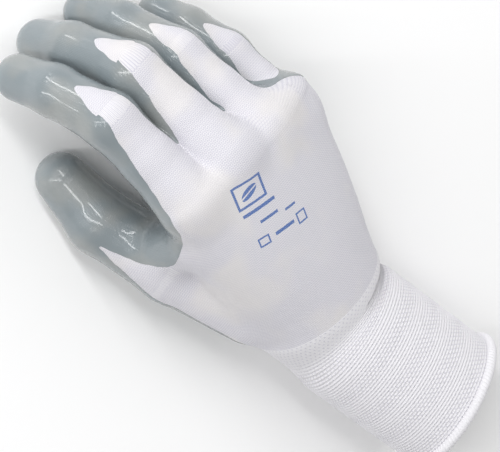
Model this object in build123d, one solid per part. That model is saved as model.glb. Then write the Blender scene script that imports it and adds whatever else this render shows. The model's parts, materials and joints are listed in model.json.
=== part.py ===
from build123d import *
from math import radians, tan
import os

# Right-hand work glove, lying palm down. Millimetres, +Z up, fingers towards +Y, thumb towards -X.
# The shape is laid out in a palm frame (wrist centre at the origin, back of the hand +Z), then
# turned and set down on the floor. Every fold of the knit is cut out as a bow tie round its hinge.

knit = 1.2            # liner thickness
film = 0.45           # nitrile film thickness over the liner
gap = 0.5             # half gap between two sleeves at a fold's pivot
slack = 0.15          # clearance between a fold and the sleeves next to it

palmPitch = 16.7      # lean of the palm when the glove rests on thumb, fingertips and hem
palmRoll = 21.15

# wrist and cuff
wristTurn = Rotation(0, 0, 14) * Rotation(-20.5, 0, 0)
wristHalf = Rotation(0, 0, 7) * Rotation(-10, 0, 0)
cuffStart, cuffEnd = -20.0, -64.0
cuffHalf = (30.5, 22.0)
hemRadius = 2.1
elasticRows, elasticStep = 7, 5.5
sectionAt, thumbRootAt = 66, (-8, -24)
flexPivot, sidePivot = 5.0, -12.5
wristFlexRange, wristSideRange = (-25, 25), (-15, 15)

# palm sections: y, z of the centre, half width, half height
palm = [(14, -2, 33, 22.5), (35, -4, 38, 23.5), (60, -3, 41, 20.5), (86, -1, 43, 16.0)]
filmEdge = (10, -7, 90, 1.5)      # the palm film's top edge runs from (y, z) to (y, z)
filmStart = 13.0                  # nearest the film comes to the wrist

# knuckle centre, splay, bend and length of each bone, radius at knuckle, web, joints and tip
fingers = {
    "index": dict(knuckle=(-31.5, 90, -2), splay=3, bends=(23, 34, 14), bones=(43, 25, 17),
                  radii=(13.5, 10.4, 10.3, 9.4, 8.8), web=22, root=28, curl=30),
    "middle": dict(knuckle=(-9.8, 94, 1), splay=1.5, bends=(30, 40, 14), bones=(47, 29, 17),
                   radii=(14.0, 10.5, 10.4, 9.6, 9.0), web=22, root=28, curl=45),
    "ring": dict(knuckle=(11.8, 88, 0), splay=0.5, bends=(32, 27, 12), bones=(43, 27, 17),
                 radii=(13.5, 10.0, 9.9, 9.0, 8.5), web=22, root=28, curl=45),
    "little": dict(knuckle=(31.6, 79, -4.5), splay=-1, bends=(30, 20, 12), bones=(34, 19, 15),
                   radii=(12.0, 8.9, 8.8, 8.0, 7.6), web=17, root=22, curl=45),
}
rootRange, stretch, tipRatio = (-20, 30), -30, 0.6

# thumb: knuckle, joint and tip centres; radii from the palm end to the tip
thumbPoints = [Vector(-31.1, 51.2, -35.5), Vector(-37.5, 78, -54.8), Vector(-36.5, 98.5, -64)]
thumbRadii = (18.0, 15.0, 12.8, 10.2)
thumbBack = Vector(-0.75, 0.27, 0.60)
thumbFolds = (8.0, 19.5)          # spread and knuckle pivots, from the thumb's knuckle
thumbRanges = ((-15, 15), (0, 30), (-15, 45))


def joined(shapes):
    return shapes[0].fuse(*shapes[1:])


def frustum(start, end, startRadius, endRadius):
    length = (end - start).length
    shape = Cone(startRadius, endRadius, length, align=(Align.CENTER, Align.CENTER, Align.MIN))
    return Plane(origin=start, z_dir=(end - start)) * shape


def ball(centre, radius):
    return Pos(*centre) * Sphere(radius)


def limb(points, radii, grow):
    """Cones from point to point with a ball at every bend and at the tip."""
    shapes = [ball(points[-1], radii[-1] + grow)]
    for i in range(len(points) - 1):
        shapes.append(frustum(points[i], points[i + 1], radii[i] + grow, radii[i + 1] + grow))
        shapes.append(ball(points[i], radii[i] + grow))
    return joined(shapes)


def spindle(origin, way, stations, grow):
    """Straight-sided turned piece through (distance, radius) stations."""
    corners = [(r + grow, at) for at, r in stations]
    corners = [(0, corners[0][1])] + corners + [(0, corners[-1][1])]
    turned = revolve(Plane.XZ * make_face(Polyline(*corners, close=True)), Axis.Z)
    return Plane(origin=origin, z_dir=way) * turned


def slope(degrees):
    return tan(radians(degrees))


def prism(fold, corners, half=24):
    pivot, way, side, limits = fold
    plane = Plane(origin=pivot, x_dir=way, z_dir=side)
    return extrude(plane * make_face(Polyline(*corners, close=True)), half, both=True)


def zone(fold, trim=0.0, reach=30.0, half=24):
    """Bow-tie shaped space round a pivot that the sleeves on either side never reach."""
    closing, opening = slope(fold[3][1] / 2) * reach, slope(-fold[3][0] / 2) * reach
    g = gap - trim
    corners = [(-g, 0), (-g - closing, reach), (g + closing, reach), (g, 0),
               (g + opening, -reach), (-g - opening, -reach)]
    return prism(fold, corners, half)


def beyond(fold, grow, reach=30.0, far=70.0):
    """Everything past a fold's near side. The hollow's cut comes later, so the sleeve stays open."""
    closing, opening = slope(fold[3][1] / 2) * reach, slope(-fold[3][0] / 2) * reach
    g = gap if grow >= 0 else gap - 2.0
    corners = [(-g, 0), (-g - closing, reach), (far, reach), (far, -reach), (-g - opening, -reach)]
    return prism(fold, corners)


def midway(a, b):
    return (a + b).normalized()


class Finger:
    """One finger: centre line, folds from root to tip, and its solids."""

    def __init__(self, name):
        data = fingers[name]
        self.radii, self.web = data["radii"], data["web"]
        self.side = Vector(-1, 0, 0).rotate(Axis.Z, data["splay"])
        self.joints, self.ways, total = [Vector(*data["knuckle"])], [], 0
        for bend, bone in zip(data["bends"], data["bones"]):
            total += bend
            way = Vector(0, 1, 0).rotate(Axis.X, -total).rotate(Axis.Z, data["splay"])
            self.ways.append(way)
            self.joints.append(self.joints[-1] + way * bone)
        webPoint = self.joints[0] + self.ways[0] * data["web"]
        self.points = [self.joints[0], webPoint] + self.joints[1:]
        root = self.joints[0] + self.ways[0] * data["root"]
        curl = (stretch, data["curl"])
        follow = tuple(v * tipRatio for v in curl)
        self.folds = [(root, self.ways[0], self.side, rootRange),
                      (self.joints[1], midway(*self.ways[:2]), self.side, curl),
                      (self.joints[2], midway(*self.ways[1:]), self.side, follow)]
        self.marks = [root + (self.joints[1] - root) / 2, (self.joints[1] + self.joints[2]) / 2,
                      self.joints[3]]

    def solid(self, grow):
        return limb(self.points, self.radii, grow)

    def stump(self, grow):
        """Root of the finger as the hand has it: one turned piece, cut at the root fold."""
        a, b, c = self.points[:3]
        reach, full = (b - a).length, (c - a).length
        stations = [(-14 - grow, 8), (0, self.radii[0]), (reach, self.radii[1]), (full, self.radii[2])]
        return spindle(a, self.ways[0], stations, grow) - beyond(self.folds[0], grow)

    def window(self):
        """Space over the back of the finger where the liner stays bare."""
        tools = []
        spans = [(self.joints[0] - self.ways[0] * 12, self.ways[0], self.points[2], 0.95),
                 (self.joints[1], self.ways[1], (self.joints[1] + self.joints[2]) / 2, 0.75)]
        for start, way, end, share in spans:
            width, length = 2 * share * self.radii[2], (end - start).length
            up = way.cross(self.side)
            plane = Plane(origin=start + up * 0.3 * self.radii[2], x_dir=way, z_dir=up)
            shape = Pos(length / 2, 0) * Rectangle(length, width) + Pos(length, 0) * Circle(width / 2)
            tools.append(extrude(plane * shape, 20))
        return joined(tools)


class Thumb(Finger):
    """The thumb: it leaves the palm on its own base, and also turns sideways at its root."""

    def __init__(self):
        a, b, c = thumbPoints
        self.ways = [(b - a).normalized(), (c - b).normalized()]
        self.back = (thumbBack - self.ways[0] * thumbBack.dot(self.ways[0])).normalized()
        self.side = self.back.cross(self.ways[0]).normalized()
        self.points, self.radii = [a - self.ways[0] * 44] + thumbPoints, thumbRadii
        spread, knuckle = (a + self.ways[0] * at for at in thumbFolds)
        self.folds = [(spread, self.ways[0], self.back, thumbRanges[0]),
                      (knuckle, self.ways[0], self.side, thumbRanges[1]),
                      (b, midway(*self.ways), self.side, thumbRanges[2])]
        self.marks = [(spread + knuckle) / 2, (knuckle + b) / 2, c]

    def stump(self, grow):
        stations = [(-54 - grow, 11), (-44, thumbRadii[0]), (0, thumbRadii[1]),
                    ((self.points[2] - self.points[1]).length, thumbRadii[2])]
        return spindle(self.points[1], self.ways[0], stations, grow) - beyond(self.folds[0], grow)

    def window(self):
        start, length, width = self.points[1] - self.ways[0] * 30, 54, 21
        plane = Plane(origin=start + self.back * 4, x_dir=self.ways[0], z_dir=self.back)
        shape = Pos(length / 2, 0) * Rectangle(length, width) + Pos(length, 0) * Circle(width / 2)
        return extrude(plane * shape, 30)


def wristFrame(y):
    return Location(wristTurn) * Pos(0, y, 0)


def trunk(grow):
    """Palm, wrist and the first rows of the cuff as one smooth tube."""
    a, b = cuffHalf
    stations = [(wristFrame(cuffStart - (2 if grow < 0 else 0)), a, b), (wristFrame(-11), a, b),
                (Location(wristHalf), 31, 22)]
    for y, z, w, h in palm:
        stations.append((Pos(0, y + (grow if y == palm[-1][0] else 0), z), w, h))
    turn = Rot(90, 0, 0) * Rot(0, 0, 90)
    return loft([at * turn * Ellipse(h + grow, w + grow) for at, w, h in stations], ruled=True)


def wristFolds():
    along = Vector(0, 1, 0).rotate(Axis.X, -8).rotate(Axis.Z, 6)
    flex = (Vector(0, flexPivot, -1), along, Vector(-1, 0, 0), wristFlexRange)
    along, up = ((Location(wristTurn) * Pos(*v)).position for v in ((0, 1, 0), (0, 0, 1)))
    return flex, (wristFrame(sidePivot).position, along, up, wristSideRange)


def backSpace():
    """Space above the palm film's edge, with the strip next to the wrist."""
    y0, z0, y1, z1 = filmEdge
    upper = Polyline((-80, z0 - 90 * (z1 - z0) / (y1 - y0)), (120, z1 + 30 * (z1 - z0) / (y1 - y0)),
                     (120, 90), (-80, 90), close=True)
    above = extrude(Plane.YZ * make_face(upper), 80, both=True)
    return joined([above, Pos(0, filmStart - 60, 0) * Box(200, 120, 200)])


def ovalTube(outer, inner, start, end):
    rings = Ellipse(*outer) - Ellipse(*inner)
    return wristFrame(end) * Rot(-90, 0, 0) * extrude(rings, start - end)


def cuff():
    """Ribbed tube, laid-in elastic and rolled hem, in line with the wrist's lower half."""
    a, b = cuffHalf
    tube = ovalTube((a, b), (a - knit, b - knit), cuffStart, cuffEnd)
    rows, grooves = [], []
    for i in range(elasticRows):
        y = cuffEnd + 7 + i * elasticStep
        outer, inner = (a - knit + 0.6, b - knit + 0.6), (a - knit, b - knit)
        rows.append(ovalTube(outer, inner, y + 0.4, y - 0.4))
        grooves.append(ovalTube(tuple(v + 0.03 for v in outer), tuple(v - 0.2 for v in inner),
                                y + 0.43, y - 0.43))
    ring = Ellipse(a + 0.4, b + 0.4).edge()
    path = wristFrame(cuffEnd - 1.2) * Rot(-90, 0, 0) * ring
    hem = sweep(Plane(origin=path @ 0, z_dir=path % 0) * Circle(hemRadius), path)
    tube = tube - joined(grooves) - hem
    return tube, Compound(rows), hem


def largest(shape):
    return max(shape.solids(), key=lambda s: s.volume)


def pick(shape, marks, index):
    """Largest piece of a cut shape that lies nearest to one of its marks."""
    near = [s for s in shape.solids()
            if min(range(len(marks)), key=lambda i: (s.center() - marks[i]).length) == index]
    return max(near, key=lambda s: s.volume)


def digitNodes(name, digit, nodes):
    parts = ("base", "middle", "tip")
    liner = digit.solid(0) - digit.solid(-knit)
    coat = digit.solid(film) - digit.solid(0) - digit.window()
    zones = [zone(fold) for fold in digit.folds]
    marks = [digit.points[0]] + digit.marks
    linerCut, coatCut = liner - joined(zones), coat - joined(zones)
    for i, part in enumerate(parts):
        nodes[f"{name}_{part}_knit"] = pick(linerCut, marks, i + 1)
        nodes[f"{name}_{part}_film"] = pick(coatCut, marks, i + 1)
    both = joined([liner, coat])
    for i, part in enumerate(("root", "middle", "tip")):
        nodes[f"{name}_{part}_fold"] = largest(both & zone(digit.folds[i], slack))


def sections(liner):
    """The hand's liner as it is knitted: below the thumb's crotch, the thumb's own root, and up to the fingers."""
    upper = largest(liner & Pos(0, sectionAt + 60, 0) * Box(140, 120, 140))
    lower = largest(liner & Pos(0, sectionAt - 60, 0) * Box(140, 120, 140))
    x, z = thumbRootAt
    root = Pos(x - 30, sectionAt - 22, z - 30) * Box(60, 44, 60)
    return {"hand_upper_knit": upper, "hand_thumb_knit": largest(lower & root), "hand_lower_knit": largest(lower - root)}


def handNodes(digits, nodes):
    body = {}
    for g in (0.0, -knit, film):
        body[g] = joined([trunk(g)] + [d.stump(g) for d in digits.values()])
    folds = wristFolds()
    zones = joined([zone(fold, reach=60, half=60) for fold in folds])
    liner = body[0.0] - body[-knit]
    pieces = sorted((liner - zones).solids(), key=lambda s: s.center().Y)
    windows = joined([d.window() for d in digits.values()] + [backSpace()])
    nodes.update(sections(pieces[-1]))
    nodes["hand_film"] = largest(body[film] - body[0.0] - windows)
    nodes["wrist_ring"] = pieces[1]
    for name, fold in zip(("wrist_flex_fold", "wrist_side_fold"), folds):
        nodes[name] = largest(liner & zone(fold, slack, reach=60, half=60))
    tube, rows, hem = cuff()
    nodes["cuff_rib"] = joined([tube, pieces[0]])
    nodes["cuff_elastic"], nodes["cuff_hem"] = rows, hem


def settle(nodes):
    """Turn the glove as it rests, with the middle of its footprint at the origin."""
    turn = Rotation(palmPitch, 0, 0) * Rotation(0, palmRoll, 0)
    turnedNodes = {name: turn * shape for name, shape in nodes.items()}
    box = Compound(list(turnedNodes.values())).bounding_box()
    shift = Pos(-(box.min.X + box.max.X) / 2, -(box.min.Y + box.max.Y) / 2, -box.min.Z)
    return {name: shift * shape for name, shape in turnedNodes.items()}, shift * turn


def build():
    nodes = {}
    digits = {name: Finger(name) for name in fingers}
    digits["thumb"] = Thumb()
    handNodes(digits, nodes)
    for name, digit in digits.items():
        digitNodes(name, digit, nodes)
    return settle(nodes) + (digits,)


def main():
    os.makedirs("parts", exist_ok=True)
    nodes = build()[0]
    for name, shape in nodes.items():
        export_step(shape, f"parts/{name}.step")


if __name__ == "__main__":
    main()
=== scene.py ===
import bpy, bmesh, json, math
import numpy as np
from mathutils import Vector, Matrix, noise


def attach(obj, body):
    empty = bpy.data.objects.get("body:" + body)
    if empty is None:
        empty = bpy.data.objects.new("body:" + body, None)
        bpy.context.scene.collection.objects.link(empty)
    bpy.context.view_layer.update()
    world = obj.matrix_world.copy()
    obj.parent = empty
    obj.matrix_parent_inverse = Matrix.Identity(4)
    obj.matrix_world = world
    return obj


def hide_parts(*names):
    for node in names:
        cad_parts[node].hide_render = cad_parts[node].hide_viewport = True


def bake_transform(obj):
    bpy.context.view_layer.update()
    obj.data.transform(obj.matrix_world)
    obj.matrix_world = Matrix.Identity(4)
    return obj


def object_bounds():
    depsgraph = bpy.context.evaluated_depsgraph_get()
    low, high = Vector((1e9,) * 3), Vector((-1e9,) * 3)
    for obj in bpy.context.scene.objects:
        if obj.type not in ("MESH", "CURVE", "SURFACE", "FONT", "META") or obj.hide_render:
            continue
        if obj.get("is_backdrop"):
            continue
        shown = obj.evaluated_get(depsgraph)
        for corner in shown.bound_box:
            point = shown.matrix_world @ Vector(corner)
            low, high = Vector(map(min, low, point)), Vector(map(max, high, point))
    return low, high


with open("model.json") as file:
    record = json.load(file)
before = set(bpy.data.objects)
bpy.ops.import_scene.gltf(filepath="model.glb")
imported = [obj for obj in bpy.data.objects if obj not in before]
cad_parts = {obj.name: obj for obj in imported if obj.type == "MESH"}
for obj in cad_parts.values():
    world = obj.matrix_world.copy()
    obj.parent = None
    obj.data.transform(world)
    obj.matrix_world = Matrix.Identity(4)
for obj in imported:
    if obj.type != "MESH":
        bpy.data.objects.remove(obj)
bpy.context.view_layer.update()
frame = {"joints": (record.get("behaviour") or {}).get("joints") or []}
print("frame loaded")

# ---------- the hand inside the glove, in millimetres: wrist at the origin, fingers +Y, back +Z
restLean = {"pitch": 16.7, "roll": 21.15}
fingerShapes = {
    "index": {"knuckle": (-31.5, 90, -2), "splay": 3, "bends": (23, 34, 14), "bones": (43, 25, 17),
              "radii": (13.5, 10.4, 10.6, 9.5, 8.9), "web": 22, "root": 28, "window": 0.62},
    "middle": {"knuckle": (-9.8, 94, 1), "splay": 1.5, "bends": (30, 40, 14), "bones": (47, 29, 17),
               "radii": (14.0, 10.5, 10.7, 9.7, 9.1), "web": 22, "root": 28, "window": 0.55},
    "ring": {"knuckle": (11.8, 88, 0), "splay": 0.5, "bends": (32, 27, 12), "bones": (43, 27, 17),
             "radii": (13.5, 10.0, 10.1, 9.1, 8.6), "web": 22, "root": 28, "window": 0.5},
    "little": {"knuckle": (31.6, 79, -4.5), "splay": -1, "bends": (30, 20, 12), "bones": (34, 19, 15),
               "radii": (12.2, 8.9, 9.0, 8.1, 7.7), "web": 17, "root": 22, "window": 0.7},
}
thumbShape = {"points": ((-31.1, 51.2, -35.5), (-37.5, 78, -54.8), (-36.5, 98.5, -64)),
              "radii": (13.0, 15.0, 12.9, 10.4), "back": (-0.75, 0.27, 0.60), "baseLength": 36,
              "folds": (8.0, 19.5)}
wristShape = {"turn": 14, "lift": -20.5, "start": 11.5, "turnLength": 23, "length": 75.5,
              "half": (30.5, 22.0)}
palmShape = [(14, -2, 33, 22.5), (35, -4, 38, 23.5), (60, -3, 41, 20.5), (80, -1.5, 42.5, 17.0),
             (90, -1, 42.0, 15.0)]          # y, z, half width, half height


def turn(axis, degrees):
    return np.array(Matrix.Rotation(math.radians(degrees), 3, axis))


class Bones:

    def __init__(self, points, radii, side, backs):
        self.points = [np.array(p, float) for p in points]
        self.radii, self.side, self.backs = radii, side, backs
        lengths = [np.linalg.norm(b - a) for a, b in zip(self.points[:-1], self.points[1:])]
        self.along = np.concatenate([[0], np.cumsum(lengths)])

    def each(self, p):
        for i in range(len(self.points) - 1):
            a, b = self.points[i], self.points[i + 1]
            axis = b - a
            t = np.clip((p - a) @ axis / (axis @ axis), 0, 1)
            off = p - (a + t[:, None] * axis)
            radius = self.radii[i] + (self.radii[i + 1] - self.radii[i]) * t
            yield i, t, off, np.linalg.norm(off, axis=1) - radius

    def distance(self, p):
        total = None
        for i, t, off, d in self.each(p):
            total = d if total is None else softMin(total, d, 3.0)
        return total

    def place(self, p):
        best, s, angle = np.full(len(p), 1e9), np.zeros(len(p)), np.zeros(len(p))
        for i, t, off, d in self.each(p):
            axis = self.points[i + 1] - self.points[i]
            length = np.linalg.norm(axis)
            raw = (p - self.points[i]) @ axis / length
            back = self.backs[i]
            q = np.arctan2(off @ self.side, off @ back)
            near = d < best
            best = np.where(near, d, best)
            s = np.where(near, self.along[i] + (raw if i == len(self.points) - 2 else np.clip(raw, 0, length)), s)
            if i == 0:
                s = np.where(near & (raw < 0), raw, s)
            angle = np.where(near, q, angle)
        return s, angle


def softMin(a, b, k):
    h = np.clip(0.5 + 0.5 * (b - a) / k, 0, 1)
    return b * (1 - h) + a * h - k * h * (1 - h)


def makeFinger(name):
    f = fingerShapes[name]
    splay = turn("Z", f["splay"])
    ways, total, points = [], 0, [np.array(f["knuckle"], float)]
    for bend, bone in zip(f["bends"], f["bones"]):
        total += bend
        ways.append(splay @ turn("X", -total) @ np.array((0, 1.0, 0)))
        points.append(points[-1] + ways[-1] * bone)
    side = splay @ np.array((1.0, 0, 0))
    backs = [np.cross(side, w) for w in (ways[0], *ways)]
    web = points[0] + ways[0] * f["web"]
    bones = Bones([points[0], web] + points[1:], f["radii"], side, backs)
    bones.ways, bones.joints, bones.rootPoint = ways, points, points[0] + ways[0] * f["root"]
    return bones


def makeThumb():
    a, b, c = (np.array(p, float) for p in thumbShape["points"])
    ways = [(b - a) / np.linalg.norm(b - a), (c - b) / np.linalg.norm(c - b)]
    backs = []
    for way in (ways[0], ways[0], ways[1]):
        back = np.array(thumbShape["back"]) - way * (np.array(thumbShape["back"]) @ way)
        backs.append(back / np.linalg.norm(back))
    side = np.cross(ways[0], backs[0])
    base = a - ways[0] * thumbShape["baseLength"]
    bones = Bones([base, a, b, c], thumbShape["radii"], side, backs)
    bones.ways, bones.joints = ways, [a, b, c]
    return bones


digits = {name: makeFinger(name) for name in fingerShapes}
digits["thumb"] = makeThumb()


class Trunk:

    def __init__(self):
        w = wristShape
        centre, step = np.array((0, w["start"], -2.0)), 0.5
        wrist = []
        for i in range(int(w["length"] / step) + 1):
            u = i * step
            t = min(u / w["turnLength"], 1)
            t = t * t * (3 - 2 * t)
            rotation = turn("Z", w["turn"] * t) @ turn("X", w["lift"] * t)
            half = (33 * (1 - t) + w["half"][0] * t - 2.2 * math.sin(math.pi * t),
                    22.5 * (1 - t) + w["half"][1] * t - 1.2 * math.sin(math.pi * t))
            wrist.append((centre.copy(), rotation, half, u))
            centre = centre + rotation @ np.array((0, -step, 0)) + np.array((0, 0, 2.0 * step / 24 if u < 24 else 0))
        self.wrist = wrist
        stations = wrist[::-4]
        if stations[-1][3] != 0:
            stations = stations + [wrist[0]]
        ys = np.array([p[0] for p in palmShape], float)
        rows = np.array([p[1:] for p in palmShape], float)
        for y in np.arange(w["start"] + 3, palmShape[-1][0] + 0.1, 3):
            z, a, b = (np.interp(y, ys, rows[:, k]) for k in range(3))
            stations.append((np.array((0, y, z)), np.eye(3), (a, b), -y))
        self.stations = stations
        self.c = np.array([s[0] for s in stations])
        self.r = np.array([s[1] for s in stations])
        self.h = np.array([s[2] for s in stations])
        self.n = self.r[:, :, 1]

    def local(self, p):
        d = np.einsum("pik,ik->pi", p[:, None, :] - self.c[None], self.n)
        ahead = d >= 0
        i = np.clip(ahead.sum(axis=1) - 1, 0, len(self.c) - 2)
        rows = np.arange(len(p))
        d0, d1 = d[rows, i], d[rows, i + 1]
        t = np.clip(d0 / np.where(np.abs(d0 - d1) < 1e-9, 1e-9, d0 - d1), 0, 1)[:, None]
        c = self.c[i] * (1 - t) + self.c[i + 1] * t
        h = self.h[i] * (1 - t) + self.h[i + 1] * t
        r = self.r[i] * (1 - t[..., None]) + self.r[i + 1] * t[..., None]
        q = np.einsum("pkj,pk->pj", r, p - c)
        over = np.maximum(d[:, -1], 0)
        return q, h, over, i + t[:, 0]

    def distance(self, p):
        q, h, over, _ = self.local(p)
        x, z, y = q[:, 0] / h[:, 0], q[:, 2] / h[:, 1], over / 11.0
        e = np.interp(p[:, 1], (22, 50), (2.0, 2.3))
        m = (np.abs(x) ** e + np.abs(z) ** e) ** (1 / e)
        m = np.sqrt(m * m + y * y)
        length = np.sqrt(q[:, 0] ** 2 + q[:, 2] ** 2 + over ** 2)
        return length * (1 - 1 / np.maximum(m, 1e-3))

    def angle(self, p):
        q, h, _, at = self.local(p)
        return np.arctan2(q[:, 0] / h[:, 0], q[:, 2] / h[:, 1]), at


trunk = Trunk()
webBones = Bones([(-34, 70, -12), (-33, 60, -34)], (9.5, 12.5), np.array((1.0, 0, 0)),
                 [np.array((0, 0, 1.0))])


def gloveDistance(p):
    fingersAll = None
    for name in fingerShapes:
        d = digits[name].distance(p)
        fingersAll = d if fingersAll is None else softMin(fingersAll, d, 2.2)
    body = softMin(trunk.distance(p), fingersAll, 7.0)
    thumb = softMin(digits["thumb"].distance(p), webBones.distance(p), 6.0)
    return softMin(body, thumb, 8.0)


def settleOn(p, rounds=5, offset=0.0):
    for k in range(rounds):
        d = gloveDistance(p)
        g = np.empty_like(p)
        for a in range(3):
            step = np.zeros(3)
            step[a] = 0.05
            g[:, a] = (gloveDistance(p + step) - d) / 0.05
        size = np.maximum(np.linalg.norm(g, axis=1), 0.3)[:, None]
        g = g / size
        if k < rounds - 1:
            p = p - g * np.clip((d - offset) / size[:, 0], -2.5, 2.5)[:, None]
    return p, g


# ---------- from the hand's frame to the row's frame
lean = turn("X", restLean["pitch"]) @ turn("Y", restLean["roll"])
rootJoint = next(j for j in frame["joints"] if j["name"] == "index_root")
shift = np.array(rootJoint["pos_m"]) * 1000 - lean @ digits["index"].rootPoint


def toRow(p):
    return (np.asarray(p) @ lean.T + shift) / 1000


# ---------- rough body from primitives, made into one skin
def addCone(bm, a, b, ra, rb):
    a, b = np.array(a, float), np.array(b, float)
    axis = Vector(b - a)
    spin = axis.to_track_quat("Z", "Y").to_matrix().to_4x4()
    place = Matrix.Translation(Vector((a + b) / 2)) @ spin
    bmesh.ops.create_cone(bm, cap_ends=True, segments=40, radius1=ra, radius2=rb, depth=axis.length, matrix=place)
    for at, r in ((a, ra), (b, rb)):
        bmesh.ops.create_icosphere(bm, subdivisions=3, radius=r, matrix=Matrix.Translation(Vector(at)))


def roughBody():
    bm = bmesh.new()
    for bones in list(digits.values()) + [webBones]:
        for i in range(len(bones.points) - 1):
            addCone(bm, bones.points[i], bones.points[i + 1], bones.radii[i], bones.radii[i + 1])
    loops = []
    for c, r, h, _ in trunk.stations[::2] + [trunk.stations[-1]]:
        ring = bmesh.ops.create_circle(bm, segments=72, radius=1)["verts"]
        m = Matrix(((r[0][0] * h[0], r[0][2] * h[1], r[0][1], c[0]), (r[1][0] * h[0], r[1][2] * h[1], r[1][1], c[1]),
                    (r[2][0] * h[0], r[2][2] * h[1], r[2][1], c[2]), (0, 0, 0, 1)))
        bmesh.ops.transform(bm, matrix=m, verts=ring)
        loops.append(ring)
    for a, b in zip(loops[:-1], loops[1:]):
        edges = {e for ring in (a, b) for v in ring for e in v.link_edges if e.other_vert(v) in ring}
        bmesh.ops.bridge_loops(bm, edges=list(edges))
    for ring in (loops[0], loops[-1]):
        bmesh.ops.contextual_create(bm, geom=ring)
    bmesh.ops.recalc_face_normals(bm, faces=bm.faces)
    mesh = bpy.data.meshes.new("rough")
    bm.to_mesh(mesh)
    bm.free()
    body = bpy.data.objects.new("rough", mesh)
    bpy.context.collection.objects.link(body)
    remesh = body.modifiers.new("skin", "REMESH")
    remesh.mode, remesh.voxel_size, remesh.adaptivity = "VOXEL", skin["size"], 0
    done = bpy.data.meshes.new_from_object(body.evaluated_get(bpy.context.evaluated_depsgraph_get()))
    bpy.data.objects.remove(body)
    return done


skin = {"size": 1.15}


def coordinates(mesh):
    flat = np.empty(len(mesh.vertices) * 3)
    mesh.vertices.foreach_get("co", flat)
    return flat.reshape(-1, 3)


body = roughBody()
bm = bmesh.new()
bm.from_mesh(body)
for _ in range(3):
    bmesh.ops.smooth_vert(bm, verts=bm.verts, factor=0.5, use_axis_x=True, use_axis_y=True, use_axis_z=True)
bm.to_mesh(body)
points, _ = settleOn(coordinates(body), 6)
print("skin:", len(points), "points, off by", float(np.abs(gloveDistance(points)).max()))
for v, p in zip(bm.verts, points):
    v.co = p
bmesh.ops.bisect_plane(bm, geom=bm.verts[:] + bm.edges[:] + bm.faces[:], plane_co=(0, wristShape["start"], 0),
                       plane_no=(0, 1, 0), clear_inner=True)


# ---------- where the film ends: above zero is film, in millimetres from its edge
film = {"thickness": 0.4, "ragged": 0.5, "palmStart": 17, "backAngle": 84}


def digitFilm(name, p):
    s, angle = digits[name].place(p)
    around = np.degrees(angle)
    if name == "thumb":
        s = s - thumbShape["baseLength"]
        upper = np.interp(s, (-60, -20, 0, 7, 14, 24, 29, 34), (75, 60, 32, 12, -1, -12, -16, -40))
        lower = np.interp(s, (-60, -21, -10, 0, 9, 20, 29, 34), (-62, -56, -51, -50, -43, -33, -20, -10))
        return np.maximum(around - upper, lower - around) * math.radians(1) * 14
    f = fingerShapes[name]
    end = f["bones"][0] + f["bones"][1] * f["window"]
    edge = film["backAngle"] * np.clip((end - s) / end, 0, 1.3) ** 0.62
    inside = (np.abs(around) - edge) * math.radians(1) * 10
    return np.where(edge > 0, inside, np.abs(around) * 0.17 + 2)


def trunkFilm(p):
    angle, _ = trunk.angle(p)
    y = p[:, 1]
    degrees = np.degrees(angle)
    ulnar = np.interp(y, (15, 35, 60, 90), (118, 92, 78, 74))
    radial = np.interp(y, (15, 30, 50, 64, 71, 79, 88, 94), (150, 150, 140, 126, 110, 97, 80, 78))
    edge = np.where(degrees > 0, ulnar, radial)
    return np.minimum((np.abs(degrees) - edge) * math.radians(1) * 36, y - film["palmStart"])


def filmField(p):
    names = list(digits)
    distances = np.array([trunk.distance(p)] + [digits[n].distance(p) for n in names])
    values = np.array([trunkFilm(p)] + [digitFilm(n, p) for n in names])
    weights = np.exp(-(distances - distances.min(axis=0)) / 2.2)
    field = (weights * values).sum(axis=0) / weights.sum(axis=0)
    ripple = np.array([noise.noise(Vector(q) * 0.16) * 1.6 + noise.noise(Vector(q) * 0.9) * 0.35 for q in p])
    return field + film["ragged"] * ripple


# ---------- cut the skin where each joint's fabric starts and stops
def cutsFor(name):
    b = digits[name]
    if name == "thumb":
        a, way = b.joints[0], b.ways[0]
        return [(a + way * 3.6, way), (a + way * 13.6, way), (a + way * 26, way)]
    f = fingerShapes[name]
    k, w = b.joints, b.ways
    middle = (w[0] + w[1]) / np.linalg.norm(w[0] + w[1])
    short = f["bones"][1] < 22
    return [(b.rootPoint - w[0] * 4, w[0]), (k[1] - w[0] * (6.5 if short else 8.2), middle),
            (k[1] + w[1] * f["bones"][1] * 0.57, w[1])]


def centresOf(faces):
    return np.array([f.calc_center_median() for f in faces])


def labelsOf(p):
    return np.argmin(np.array([trunk.distance(p)] + [digits[n].distance(p) for n in digits]), axis=0)


for number, name in enumerate(digits, 1):
    for point, normal in cutsFor(name):
        bm.faces.ensure_lookup_table()
        centres = centresOf(bm.faces)
        near = np.abs((centres - point) @ normal) < 3.5
        near &= np.linalg.norm(centres - point, axis=1) < 30
        chosen = np.nonzero(near)[0]
        chosen = chosen[labelsOf(centres[chosen]) == number]
        faces = [bm.faces[i] for i in chosen]
        parts = {v for f in faces for v in f.verts} | {e for f in faces for e in f.edges} | set(faces)
        bmesh.ops.bisect_plane(bm, geom=list(parts), dist=1e-5, plane_co=Vector(point), plane_no=Vector(normal))
print("cut at the folds:", len(bm.faces), "faces")

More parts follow.
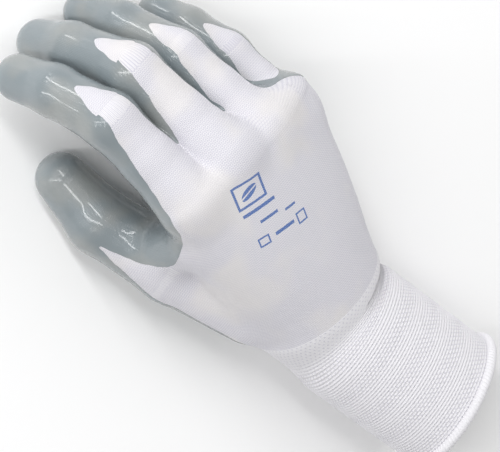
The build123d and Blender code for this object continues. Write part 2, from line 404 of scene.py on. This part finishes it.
# cut along the film's edge
bm.verts.ensure_lookup_table()
field = filmField(np.array([v.co for v in bm.verts]))
field[np.abs(field) < 0.03] = 0.03
bm.verts.index_update()
crossing, shares = [], {}
for e in bm.edges:
    a, b = field[e.verts[0].index], field[e.verts[1].index]
    if a * b < 0:
        crossing.append(e)
        shares[e] = abs(a) / (abs(a) + abs(b))
made = bmesh.ops.bisect_edges(bm, edges=crossing, cuts=1, edge_percents=shares)
fresh = [v for v in made["geom_split"] if isinstance(v, bmesh.types.BMVert)]
bmesh.ops.connect_verts(bm, verts=fresh)
bm.verts.index_update()
bm.faces.ensure_lookup_table()
print("film edge cut:", len(fresh), "points")

positions = np.array([v.co for v in bm.verts])
_, skinNormals = settleOn(positions, 1)
vertexField = filmField(positions)
onEdge = {v.index for v in fresh}
centres = centresOf(bm.faces)
labels = labelsOf(centres)
faceField = filmField(centres)
regions = {}
names = list(digits)
for i, face in enumerate(bm.faces):
    region = "hand"
    if labels[i]:
        name = names[labels[i] - 1]
        passed = sum((centres[i] - point) @ normal > 0 for point, normal in cutsFor(name))
        if passed:
            region = f"{name}_{('root', 'middle', 'tip')[passed - 1]}"
    sides = [vertexField[v.index] for v in face.verts if v.index not in onEdge]
    kind = "film" if (np.mean(sides) if sides else faceField[i]) > 0 else "knit"
    regions.setdefault((region, kind), []).append(i)
print("regions:", len(regions))


# ---------- patterns follow the knitting: u across the wales, v along them, in millimetres
def knitUv(p, label):
    if label == 0:
        angle, at = trunk.angle(p)
        return angle, 38.0, p[:, 1]
    bones = digits[names[label - 1]]
    s, angle = bones.place(p)
    return angle, (14.0 if label == 5 else 10.0), s + 860


def giveUv(mesh, p, labelsForFaces):
    layer = mesh.uv_layers.new(name="knit")
    loopVerts = np.empty(len(mesh.loops), int)
    mesh.loops.foreach_get("vertex_index", loopVerts)
    starts = np.empty(len(mesh.polygons), int)
    counts = np.empty(len(mesh.polygons), int)
    mesh.polygons.foreach_get("loop_start", starts)
    mesh.polygons.foreach_get("loop_total", counts)
    faceOfLoop = np.repeat(np.arange(len(starts)), counts)
    uv = np.zeros((len(loopVerts), 2))
    for label in np.unique(labelsForFaces):
        mine = labelsForFaces[faceOfLoop] == label
        angle, radius, v = knitUv(p, label)
        a = angle[loopVerts]
        first = a[starts][faceOfLoop]
        a = first + (a - first + math.pi) % (2 * math.pi) - math.pi
        uv[mine, 0] = (a * radius)[mine]
        uv[mine, 1] = v[loopVerts][mine]
    layer.data.foreach_set("uv", uv.ravel())


def shell(outer, inner, polys):
    part = bmesh.new()
    top = [part.verts.new(p) for p in outer]
    low = [part.verts.new(p) for p in inner]
    for poly in polys:
        part.faces.new([top[i] for i in poly])
    for poly in polys:
        part.faces.new([low[i] for i in reversed(poly)]).material_index = 1
    part.verts.index_update()
    number = len(top)
    rim = [(e.link_loops[0].vert.index, e.link_loops[0].link_loop_next.vert.index)
           for e in part.edges if len(e.link_faces) == 1 and e.verts[0].index < number]
    for a, b in rim:
        part.faces.new((top[b], top[a], low[a], low[b])).material_index = 1
    return part, len(rim)


thickness = {"knit": 1.2}


def takePiece(title, region, kind):
    faces = regions[(region, kind)]
    used = sorted({v.index for i in faces for v in bm.faces[i].verts})
    order = {old: new for new, old in enumerate(used)}
    lift = np.zeros(len(used))
    if kind == "film":
        lift = film["thickness"] * (1 - np.exp(-np.maximum(vertexField[used], 0) / 0.7)) + 0.02
    outer = positions[used] + skinNormals[used] * lift[:, None]
    inner = positions[used] - skinNormals[used] * thickness["knit"]
    part, rimFaces = shell(outer, inner, [[order[v.index] for v in bm.faces[i].verts] for i in faces])
    mesh = bpy.data.meshes.new(title)
    part.to_mesh(mesh)
    part.free()
    faceLabels = labels[np.array(faces)]
    allLabels = np.concatenate([faceLabels, faceLabels, np.full(rimFaces, faceLabels[0])])
    giveUv(mesh, np.vstack([positions[used]] * 2), allLabels)
    normals = np.vstack([skinNormals[used], -skinNormals[used]]) @ lean.T
    return placePiece(title, mesh, normals)


def placePiece(title, mesh, normals=None):
    mesh.vertices.foreach_set("co", toRow(coordinates(mesh)).ravel())
    mesh.shade_smooth()
    mesh.update()
    if normals is not None:
        mesh.normals_split_custom_set_from_vertices([tuple(n) for n in normals])
    piece = bpy.data.objects.new(title, mesh)
    bpy.context.collection.objects.link(piece)
    return piece


# ---------- surface finishes, as small sums over sockets
class Wire:
    tree = None

    def __init__(self, socket):
        self.socket = socket

    def math(self, operation, *others):
        return node("ShaderNodeMath", [self, *others], operation=operation)

    def __add__(self, other):
        return self.math("ADD", other)

    def __mul__(self, other):
        return self.math("MULTIPLY", other)

    def __sub__(self, other):
        return self.math("SUBTRACT", other)

    def __truediv__(self, other):
        return self.math("DIVIDE", other)

    def __rsub__(self, other):
        return self * -1 + other

    def __pow__(self, other):
        return self.math("POWER", other)

    def __gt__(self, other):
        return self.math("GREATER_THAN", other)

    def __lt__(self, other):
        return self.math("LESS_THAN", other)

    __radd__, __rmul__ = __add__, __mul__

    def sin(self):
        return self.math("SINE")

    def floor(self):
        return self.math("FLOOR")

    def fract(self):
        return self.math("FRACT")

    def abs(self):
        return self.math("ABSOLUTE")

    def high(self, other):
        return self.math("MAXIMUM", other)

    def ramp(self, a, b):
        return node("ShaderNodeMapRange", [self, a, b, 0, 1], interpolation_type="SMOOTHSTEP")


def node(kind, values=(), output=0, named=None, **settings):
    made = Wire.tree.nodes.new(kind)
    for key, value in settings.items():
        setattr(made, key, value)
    for key, value in list(enumerate(values)) + list((named or {}).items()):
        socket = made.inputs[key]
        if isinstance(value, Wire):
            Wire.tree.links.new(value.socket, socket)
        else:
            socket.default_value = value
    return Wire(made.outputs[output])


def colour(value):
    return (*value, 1.0)


def mix(share, a, b):
    made = node("ShaderNodeMix", data_type="RGBA", output=2)
    inner = made.socket.node
    for key, value in ((0, share), (6, a), (7, b)):
        if isinstance(value, Wire):
            Wire.tree.links.new(value.socket, inner.inputs[key])
        else:
            inner.inputs[key].default_value = value if key == 0 else colour(value)
    return made


def startMaterial(title):
    material = bpy.data.materials.new(title)
    material.use_nodes = True
    Wire.tree = material.node_tree
    surface = next(n for n in Wire.tree.nodes if n.type == "BSDF_PRINCIPLED")
    return material, surface


def finishMaterial(surface, base, rough, height=None, depth=1.0, **fixed):
    for key, value in (("Base Color", base), ("Roughness", rough)):
        if isinstance(value, Wire):
            Wire.tree.links.new(value.socket, surface.inputs[key])
        else:
            surface.inputs[key].default_value = value if key == "Roughness" else colour(value)
    for key, value in fixed.items():
        surface.inputs[key.replace("_", " ")].default_value = value
    if height is not None:
        bump = node("ShaderNodeBump", named={"Strength": depth, "Distance": 0.001, "Height": height})
        Wire.tree.links.new(bump.socket, surface.inputs["Normal"])


def flatPlace():
    spot = node("ShaderNodeUVMap", uv_map="knit")
    return (node("ShaderNodeSeparateXYZ", [spot]), node("ShaderNodeSeparateXYZ", [spot], output=1))


def handPlace():
    spot = node("ShaderNodeTexCoord", output=3)
    return node("ShaderNodeVectorMath", operation="SCALE", named={0: spot, "Scale": 1000.0})


def blotch(place, scale, detail=2.0):
    return node("ShaderNodeTexNoise", named={"Vector": place, "Scale": scale, "Detail": detail})


def stitches(u, v, wale, course):
    # legs of a V in each wale, one V to a course
    across = ((u / wale).fract() - 0.5).abs()
    rise = ((v / course + across * 1.3) * (2 * math.pi)).sin() * 0.5 + 0.5
    leg = 1 - ((across - 0.25) * 4).abs() ** 2.0
    return rise * leg


# the second colour is painted shade: a darker lavender put into the stitch grooves and holes
knitLook = {"wale": 1.15, "course": 0.86, "white": (0.80, 0.79, 0.82), "painted_groove_shade": (0.60, 0.59, 0.66),
            "warm": (0.80, 0.77, 0.74), "depth": 0.20}
nitrileLook = {"grey": (0.235, 0.272, 0.290), "light": (0.30, 0.318, 0.315), "rough": 0.13, "depth": 0.42}
inkBlue = (0.035, 0.13, 0.42)


def box(u, v, centre, half, corner=0.5):
    return ((u - centre[0]).abs() - half[0]).high((v - centre[1]).abs() - half[1])


def printMask(u, v):
    # an emblem with a leaf in it, and bars in rows below
    tilt = math.radians(11)
    a = (u + 15.5) * math.cos(tilt) - (v - 83) * math.sin(tilt)
    b = (u + 15.5) * math.sin(tilt) + (v - 83) * math.cos(tilt)
    ring = (box(a, b, (0, 0), (6.2, 4.6)).abs() - 0.5) < 0
    slant = b - a * 0.35
    leaf = ((a * a / 15 + slant * slant / 4.2) < 1) * (slant.abs() > 0.3)
    marks = ring.high(leaf)
    for centre, half in (((1.5, -7.8), (7.5, 0.7)), ((4.0, -13.2), (4.2, 0.6)), ((13.8, -15.0), (2.6, 0.5)),
                         ((-1.5, -21.0), (2.6, 2.0)), ((8.4, -21.0), (4.6, 0.7)), ((17.0, -21.4), (2.4, 2.4))):
        bar = box(a, b, centre, half) < 0
        if half[1] > 1:
            bar = bar * (box(a, b, centre, (half[0] - 0.7, half[1] - 0.7)) > 0)
        marks = marks.high(bar)
    return marks


def makeKnit():
    material, surface = startMaterial("knit")
    u, v = flatPlace()
    place = handPlace()
    wander = blotch(place, 0.05, 3.0)
    height = stitches(u + wander * 0.6, v, knitLook["wale"], knitLook["course"])
    hole = (((u / knitLook["wale"]).fract() - 0.5).abs() * 2).ramp(0.62, 1.0)
    # painted shade: the stitch grooves are coloured darker, as shade falls in them
    tone = mix(height.ramp(0.0, 0.55), knitLook["painted_groove_shade"], knitLook["white"])
    tone = mix(blotch(place, 0.03).ramp(0.48, 0.62) * 0.5, tone, knitLook["warm"])
    tone = mix(printMask(u, v) * (height.ramp(0.02, 0.3) * 0.35 + 0.65), tone, inkBlue)
    fuzz = blotch(place, 1.7, 3.0)
    finishMaterial(surface, tone, 0.85, height - hole * 0.5 + fuzz * 0.35, knitLook["depth"] * 1.6,
                   Sheen_Weight=0.15)
    return material


def makeRib():
    material, surface = startMaterial("rib")
    u, v = flatPlace()
    place = handPlace()
    step, pitch = 2.2, 1.5
    row = (v / pitch)
    dot = (((u / step + row.floor() * 0.5).fract() - 0.5).abs() * step) ** 2 \
        + ((row.fract() - 0.5).abs() * pitch) ** 2
    hole = 1 - dot.ramp(0.03, 0.22)
    thread = ((u * (2 * math.pi / 0.55)).sin() * 0.5 + 0.5) * 0.35
    # painted shade: the stitch holes are coloured darker, as shade falls in them
    tone = mix(hole * 0.7, knitLook["white"], knitLook["painted_groove_shade"])
    finishMaterial(surface, tone, 0.85, thread + blotch(place, 1.7, 3.0) * 0.3 - hole * 0.9, 0.35, Sheen_Weight=0.15)
    return material


def makeNitrile():
    material, surface = startMaterial("nitrile")
    u, v = flatPlace()
    place = handPlace()
    grain = stitches(u, v, knitLook["wale"], knitLook["course"])
    lumps = blotch(place, 0.35, 3.0)
    pores = blotch(place, 1.4, 2.0)
    height = grain * 0.12 + lumps * 0.30 + pores * 0.05
    tone = mix(blotch(place, 0.045, 2.0).ramp(0.42, 0.66), nitrileLook["grey"], nitrileLook["light"])
    rough = blotch(place, 0.5).ramp(0.35, 0.8) * 0.12 + nitrileLook["rough"]
    finishMaterial(surface, tone, rough, height, nitrileLook["depth"], IOR=1.5, Coat_Weight=0.5, Coat_Roughness=0.08)
    return material


def makePlain(title, base, rough, sheen=0.0):
    material, surface = startMaterial(title)
    place = handPlace()
    finishMaterial(surface, base, rough, blotch(place, 1.6, 2.0), 0.15, Sheen_Weight=sheen)
    return material


materials = {"knit": makeKnit(), "rib": makeRib(), "nitrile": makeNitrile(),
             "overlock": makePlain("overlock", (0.80, 0.79, 0.82), 0.8, 0.15),
             "elastic": makePlain("elastic", (0.72, 0.71, 0.72), 0.6)}
print("materials made")


def dress(piece, slotName, inner="knit"):
    piece.data.materials.append(materials[slotName])
    piece.data.materials.append(materials[inner])


# ---------- pieces of the hand and the digits
def bend(piece, first, second, centre, way, reach):
    centre, way = np.array(centre), np.array(way)
    Vector(toRow(centre - way * reach))
    Vector(toRow(centre + way * reach))
    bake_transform(piece)


def crossings(name):
    b = digits[name]
    if name == "thumb":
        return [(b.joints[0] + b.ways[0] * thumbShape["folds"][0], b.ways[0], 2.5),
                (b.joints[0] + b.ways[0] * thumbShape["folds"][1], b.ways[0], 3.5),
                (b.joints[1], b.ways[0] + b.ways[1], 5)]
    reach = 6 if name == "little" else 7
    return [(b.rootPoint, b.ways[0], 3.3), (b.joints[1], b.ways[0] + b.ways[1], reach),
            (b.joints[2], b.ways[1] + b.ways[2], 4.5)]


for region in sorted({r for r, kind in regions}):
    made = {}
    for kind in ("knit", "film"):
        if len(regions.get((region, kind), ())) > 4:
            piece = takePiece(f"{region}_{kind}_skin", region, kind)
            dress(piece, "knit" if kind == "knit" else "nitrile")
            made[kind] = piece
    if region == "hand":
        for piece in made.values():
            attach(piece, "hand")
        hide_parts("hand_film")
        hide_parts("hand_lower_knit", "hand_upper_knit", "hand_thumb_knit")
        continue
    name, zone = region.split("_")
    index = ("root", "middle", "tip").index(zone)
    part = ("base", "middle", "tip")[index]
    before = ("hand", f"{name}_base", f"{name}_middle")[index]
    centre, way, reach = crossings(name)[index]
    way = way / np.linalg.norm(way)
    for kind, piece in made.items():
        bend(piece, before, f"{name}_{part}", centre, way, reach)
    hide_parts(f"{name}_{part}_film")
    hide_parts(f"{name}_{part}_knit", f"{name}_{zone}_fold")
print("hand and digits made")
bm.free()


# ---------- wrist and cuff: a ribbed tube, then the laid-in elastic and the rolled hem
ribs = {"pitch": 1.35, "depth": 0.27, "begin": 7.0, "full": 18.0, "rows": 6, "around": 300}
seamsAt = (0, 15, 31.5, wristShape["length"])


def stationAt(u):
    wrist = trunk.wrist
    i = min(u / 0.5, len(wrist) - 1.001)
    low, share = wrist[int(i)], i - int(i)
    high = wrist[int(i) + 1]
    half = tuple(a * (1 - share) + b * share for a, b in zip(low[2], high[2]))
    return low[0] * (1 - share) + high[0] * share, low[1], half


def ovalRing(u, count, grow=0.0):
    centre, rotation, half = stationAt(u)
    angles = np.arange(count) / count * 2 * math.pi
    flat = np.stack([(half[0] + grow) * np.sin(angles), np.zeros(count), (half[1] + grow) * np.cos(angles)], 1)
    return centre + flat @ rotation.T, angles


def tubePiece(title, begin, end):
    count = ribs["around"]
    step = ribs["pitch"] / ribs["rows"]
    rows = int(round((end - begin) / step))
    us = np.linspace(begin, end, rows + 1)
    rings = np.concatenate([ovalRing(u, count)[0] for u in us])
    rings, normals = settleOn(rings, 4)
    along = np.repeat(us, count)
    fade = np.clip((along - ribs["begin"]) / (ribs["full"] - ribs["begin"]), 0, 1)
    fade = fade * fade * (3 - 2 * fade)
    wave = np.cos(2 * math.pi * along / ribs["pitch"])
    outer = rings + normals * (ribs["depth"] * fade * (wave - 0.3))[:, None]
    inner = rings - normals * 1.35
    polys = []
    for i in range(rows):
        for j in range(count):
            k = (j + 1) % count
            polys.append([i * count + j, i * count + k, (i + 1) * count + k, (i + 1) * count + j])
    part, _ = shell(outer, inner, polys)
    layer = part.loops.layers.uv.new("knit")
    part.verts.index_update()
    total = len(outer)
    for face in part.faces:
        where = [loop.vert.index % total for loop in face.loops]
        columns = [w % count for w in where]
        wrap = max(columns) - min(columns) > count / 2
        for loop, w, c in zip(face.loops, where, columns):
            c = c + count if wrap and c < count / 2 else c
            loop[layer].uv = (c / count * 176, -us[w // count])
    mesh = bpy.data.meshes.new(title)
    part.to_mesh(mesh)
    part.free()
    return mesh


def sleeve(title, begin, end):
    mesh = tubePiece(title, begin, end)
    piece = placePiece(title, mesh)
    dress(piece, "rib")
    return piece


first = sleeve("wrist_upper_skin", seamsAt[0], seamsAt[1])
second = sleeve("wrist_lower_skin", seamsAt[1], seamsAt[2])
third = sleeve("cuff_skin", seamsAt[2], seamsAt[3])
Vector(toRow(stationAt(1)[0]))
Vector(toRow(stationAt(12)[0]))
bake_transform(first)
Vector(toRow(stationAt(19.5)[0]))
Vector(toRow(stationAt(28.5)[0]))
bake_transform(second)
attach(third, "cuff")
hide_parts("wrist_flex_fold", "wrist_ring")
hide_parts("wrist_side_fold")
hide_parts("cuff_rib")
print("wrist and cuff made")


def roll(us, radius, inset, wraps=0, lump=0.0, around=240, section=12):
    outer, faces = [], []
    for number, u in enumerate(us):
        centre, rotation, half = stationAt(min(u, wristShape["length"]))
        beyond = rotation @ np.array((0, -1.0, 0)) * max(u - wristShape["length"], 0)
        for j in range(around):
            a = j / around * 2 * math.pi
            spot = np.array(((half[0] + inset) * math.sin(a), 0, (half[1] + inset) * math.cos(a)))
            out = np.array((math.sin(a) / half[0], 0, math.cos(a) / half[1]))
            out = out / np.linalg.norm(out)
            for k in range(section):
                b = k / section * 2 * math.pi
                swell = radius + lump * (0.5 + 0.5 * math.sin(a * wraps + b * 2)) ** 0.7
                step = out * math.cos(b) * swell + np.array((0, -1.0, 0)) * math.sin(b) * swell
                outer.append(centre + beyond + rotation @ (spot + step))
        base = number * around * section
        for j in range(around):
            for k in range(section):
                m, n = (j + 1) % around, (k + 1) % section
                here, after = base + j * section, base + m * section
                faces.append((here + k, after + k, after + n, here + n))
    return outer, faces


def rollPiece(title, slotName, *arguments, **more):
    points, faces = roll(*arguments, **more)
    mesh = bpy.data.meshes.new(title)
    part = bmesh.new()
    verts = [part.verts.new(p) for p in points]
    for f in faces:
        part.faces.new([verts[i] for i in f])
    bmesh.ops.recalc_face_normals(part, faces=part.faces)
    part.to_mesh(mesh)
    part.free()
    piece = placePiece(title, mesh)
    dress(piece, slotName)
    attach(piece, "cuff")
    return piece


hemShape = {"beyond": 1.2, "radius": 1.95, "out": 0.4, "wraps": 118, "lump": 0.35}
elasticShape = {"rows": 7, "first": 7, "step": 5.5, "radius": 0.4, "out": -1.5}
hem = rollPiece("hem_skin", "overlock", [wristShape["length"] + hemShape["beyond"]], hemShape["radius"],
                hemShape["out"], wraps=hemShape["wraps"], lump=hemShape["lump"],
                around=hemShape["wraps"] * 8, section=16)
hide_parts("cuff_hem")
rows = [wristShape["length"] - elasticShape["first"] - elasticShape["step"] * i for i in range(elasticShape["rows"])]
elastic = rollPiece("elastic_skin", "elastic", rows, elasticShape["radius"], elasticShape["out"], section=8)
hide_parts("cuff_elastic")
print("hem and elastic made")


# ---------- camera, lights and floor
view = {"about": (-5, 50, 0), "turns": (("Z", 29), ("X", 32), ("Y", 36)), "at": (-9.8, 2.2, 900), "lens": 165}
facing = np.eye(3)
for axis, degrees in view["turns"]:
    facing = facing @ turn(axis, degrees)
eye = np.array(view["about"]) + facing.T @ np.array(view["at"])
camera = bpy.data.objects.new("camera", bpy.data.cameras.new("camera"))
bpy.context.collection.objects.link(camera)
camera.matrix_world = Matrix.Translation(Vector(toRow(eye))) @ Matrix(lean @ facing.T).to_4x4()
camera.data.lens, camera.data.sensor_width = view["lens"], 36
camera.data.clip_start, camera.data.clip_end = 0.05, 20
bpy.context.scene.camera = camera
camera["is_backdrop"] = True

low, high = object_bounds()
middle = (low + high) / 2


def addStrip(title, place, wide, tall, power):
    lamp = bpy.data.lights.new(title, "AREA")
    lamp.shape, lamp.size, lamp.size_y, lamp.energy = "RECTANGLE", wide, tall, power
    light = bpy.data.objects.new(title, lamp)
    bpy.context.collection.objects.link(light)
    light.location = Vector(place)
    light.rotation_mode = "QUATERNION"
    light.rotation_quaternion = (Vector(place) - middle).to_track_quat("Z", "Y")
    light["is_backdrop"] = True


# tall strips, so that each finger mirrors one along its length
addStrip("key", (-0.02, 0.80, 0.72), 0.10, 1.3, 6.0)
addStrip("side", (-0.60, 0.40, 0.75), 0.08, 1.0, 3.2)
addStrip("fill", (0.75, 0.05, 0.80), 0.7, 0.7, 1.8)

world = bpy.data.worlds.new("studio")
world.use_nodes = True
background = next(n for n in world.node_tree.nodes if n.type == "BACKGROUND")
background.inputs["Color"].default_value, background.inputs["Strength"].default_value = (1, 1, 1, 1), 0.5
bpy.context.scene.world = world

ground = bmesh.new()
bmesh.ops.create_grid(ground, x_segments=1, y_segments=1, size=6)
floorMesh = bpy.data.meshes.new("floor")
ground.to_mesh(floorMesh)
ground.free()
floor = bpy.data.objects.new("floor", floorMesh)
floorMaterial, floorSurface = startMaterial("floor")
finishMaterial(floorSurface, (0.95, 0.95, 0.95), 0.9)
floorMesh.materials.append(floorMaterial)
bpy.context.collection.objects.link(floor)
floor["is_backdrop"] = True
bpy.context.scene.view_settings.view_transform = "Standard"

print("camera, lights and floor made")
